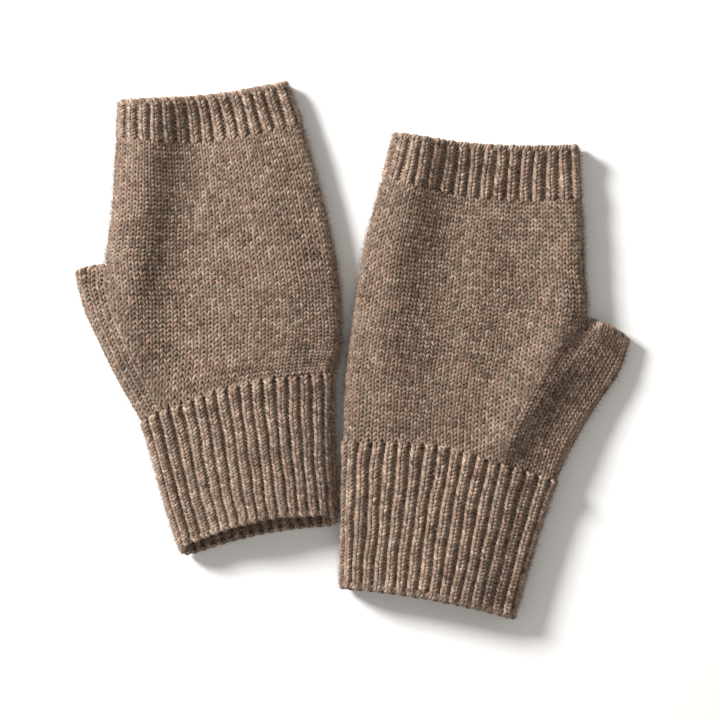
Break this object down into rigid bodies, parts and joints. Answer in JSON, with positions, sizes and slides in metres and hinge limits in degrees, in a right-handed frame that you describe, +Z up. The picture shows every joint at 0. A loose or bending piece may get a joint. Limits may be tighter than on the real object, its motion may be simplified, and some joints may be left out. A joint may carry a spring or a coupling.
{
  "type": "fingerless gloves",
  "caption": "Pair of fingerless knitted gloves lying flat, jersey hands with open half thumbs, rib finger bands and long rib cuffs that bend at the wrist.",
  "frame": {"origin": "centre of the pair's outline at the surface the gloves lie on", "axes": "+Y towards the finger openings, +X from the glove with its thumb on the left to the one with its thumb on the right, +Z up from the surface"},
  "size_m": [0.2212, 0.2139, 0.0155],
  "materials": {
    "jersey": "soft heathered wool jersey, slightly fuzzy",
    "rib": "soft heathered wool rib, slightly fuzzy",
    "edge": "soft heathered wool chain edge",
    "yarn": "twisted wool yarn"
  },
  "bodies": {
    "left_hand": {"left_hand_tube": "jersey", "left_finger_rib_band": "rib", "left_finger_cast_off_edge": "edge", "left_wrist_join_course": "edge", "left_finger_yarn_end": "yarn"},
    "left_thumb": {"left_thumb_gusset": "jersey", "left_thumb_cast_off_edge": "edge"},
    "left_cuff": {"left_wrist_rib_cuff": "rib", "left_cuff_cast_on_edge": "edge", "left_cuff_yarn_end": "yarn"},
    "right_hand": {"right_hand_tube": "jersey", "right_finger_rib_band": "rib", "right_finger_cast_off_edge": "edge", "right_wrist_join_course": "edge", "right_finger_yarn_end": "yarn"},
    "right_thumb": {"right_thumb_gusset": "jersey", "right_thumb_cast_off_edge": "edge"},
    "right_cuff": {"right_wrist_rib_cuff": "rib", "right_cuff_cast_on_edge": "edge", "right_cuff_yarn_end": "yarn"}
  },
  "joints": [
    {"name": "left_wrist_bend", "type": "hinge", "parent": "left_hand", "child": "left_cuff", "pos_m": [-0.0462, -0.0161, 0.0133], "axis": [-0.9693, -0.2461, 0], "range_deg": [0, 60]},
    {"name": "left_thumb_lift", "type": "hinge", "parent": "left_hand", "child": "left_thumb", "pos_m": [-0.0865, 0.0051, 0.0113], "axis": [-0.3816, 0.9243, 0], "range_deg": [0, 50]},
    {"name": "right_glove_lift", "type": "slide", "parent": "left_hand", "child": "right_hand", "axis": [0, 0, 1], "range_m": [0, 0.15]},
    {"name": "right_wrist_bend", "type": "hinge", "parent": "right_hand", "child": "right_cuff", "pos_m": [0.039, -0.0414, 0.0133], "axis": [-0.982, 0.189, 0], "range_deg": [0, 60]},
    {"name": "right_thumb_lift", "type": "hinge", "parent": "right_hand", "child": "right_thumb", "pos_m": [0.07215, -0.0131, 0.0133], "axis": [-0.5082, -0.8613, 0], "range_deg": [0, 50]}
  ]
}
